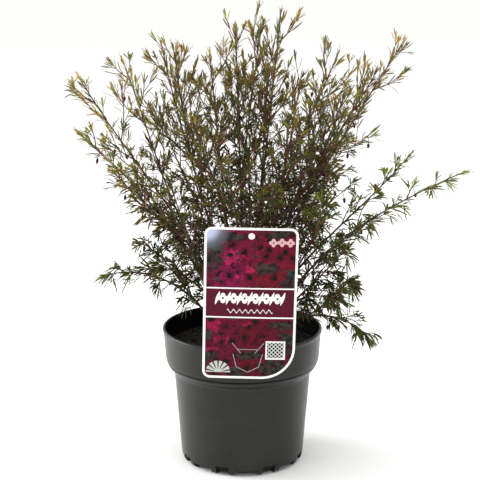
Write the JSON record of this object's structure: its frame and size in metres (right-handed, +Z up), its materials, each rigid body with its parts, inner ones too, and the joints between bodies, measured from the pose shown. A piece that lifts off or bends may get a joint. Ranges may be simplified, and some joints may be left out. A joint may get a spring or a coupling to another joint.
{
  "type": "potted boronia",
  "caption": "Bushy fine-leaved boronia shrub on fanned woody stems, in a round nursery pot with a stepped collar, potting mix and a hooked plant label.",
  "frame": {"origin": "centre of the pot's flat underside, where it stands", "axes": "+Z up; the label is on the -Y side, and +X is to the right as the label is read"},
  "size_m": [0.4312, 0.3419, 0.4913],
  "materials": {
    "pot_plastic": "satin",
    "potting_mix": "matte",
    "label_print": "satin",
    "bronze_foliage": "satin",
    "green_foliage": "satin"
  },
  "bodies": {
    "root": {"pot": "pot_plastic", "soil": "potting_mix", "label": "label_print", "leafy_stem_01": "bronze_foliage", "leafy_stem_02": "bronze_foliage", "leafy_stem_03": "bronze_foliage", "leafy_stem_04": "bronze_foliage", "leafy_stem_05": "bronze_foliage", "leafy_stem_06": "bronze_foliage", "leafy_stem_07": "bronze_foliage", "leafy_stem_08": "bronze_foliage", "leafy_stem_09": "bronze_foliage", "leafy_stem_10": "green_foliage", "leafy_stem_11": "green_foliage", "leafy_stem_12": "green_foliage", "leafy_stem_13": "green_foliage", "leafy_stem_14": "green_foliage", "leafy_stem_15": "bronze_foliage", "leafy_stem_16": "green_foliage", "leafy_stem_17": "green_foliage", "leafy_stem_18": "green_foliage", "leafy_stem_19": "bronze_foliage", "leafy_stem_20": "bronze_foliage", "leafy_stem_21": "green_foliage"}
  },
  "joints": []
}
